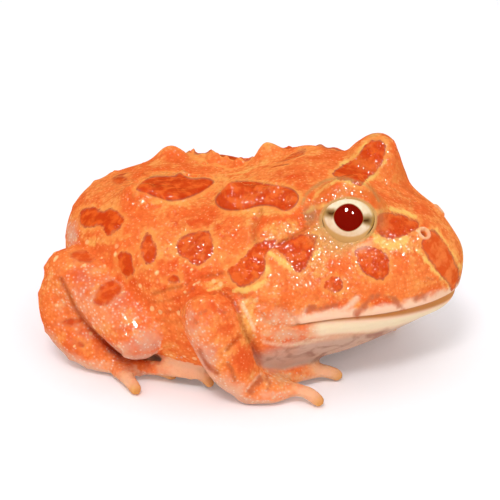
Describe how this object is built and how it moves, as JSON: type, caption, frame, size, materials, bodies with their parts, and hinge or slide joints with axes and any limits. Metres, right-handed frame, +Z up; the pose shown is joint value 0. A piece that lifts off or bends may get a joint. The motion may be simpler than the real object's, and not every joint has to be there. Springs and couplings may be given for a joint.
{
  "type": "argentine horned frog",
  "caption": "Sitting horned frog with a wide head, soft horns over the eyes, folded legs and spread toes; still model of one pose.",
  "frame": {"origin": "on the floor, under the middle of the whole animal's box", "axes": "+X from the vent to the snout, +Y to the frog's own left, +Z up"},
  "size_m": [0.0684, 0.0582, 0.0365],
  "materials": {
    "orange_skin": "wet, glossy, warty skin, orange with red patches",
    "throat_skin": "smooth, moist, pale cream skin",
    "horn_skin": "wet skin over the eye, orange with a red bar",
    "eyeball": "polished, cream iris with a dark red pupil"
  },
  "bodies": {
    "root": {"torso": "orange_skin", "head": "orange_skin", "lower_jaw": "throat_skin", "eyelid_horn_right": "horn_skin", "eye_right": "eyeball", "upper_arm_right": "orange_skin", "forearm_right": "orange_skin", "hand_right": "orange_skin", "finger_1_right": "orange_skin", "finger_2_right": "orange_skin", "finger_3_right": "orange_skin", "finger_4_right": "orange_skin", "thigh_right": "orange_skin", "shank_right": "orange_skin", "foot_right": "orange_skin", "toe_1_right": "orange_skin", "toe_2_right": "orange_skin", "toe_3_right": "orange_skin", "toe_4_right": "orange_skin", "toe_5_right": "orange_skin", "eyelid_horn_left": "horn_skin", "eye_left": "eyeball", "upper_arm_left": "orange_skin", "forearm_left": "orange_skin", "hand_left": "orange_skin", "finger_1_left": "orange_skin", "finger_2_left": "orange_skin", "finger_3_left": "orange_skin", "finger_4_left": "orange_skin", "thigh_left": "orange_skin", "shank_left": "orange_skin", "foot_left": "orange_skin", "toe_1_left": "orange_skin", "toe_2_left": "orange_skin", "toe_3_left": "orange_skin", "toe_4_left": "orange_skin", "toe_5_left": "orange_skin"}
  },
  "joints": []
}
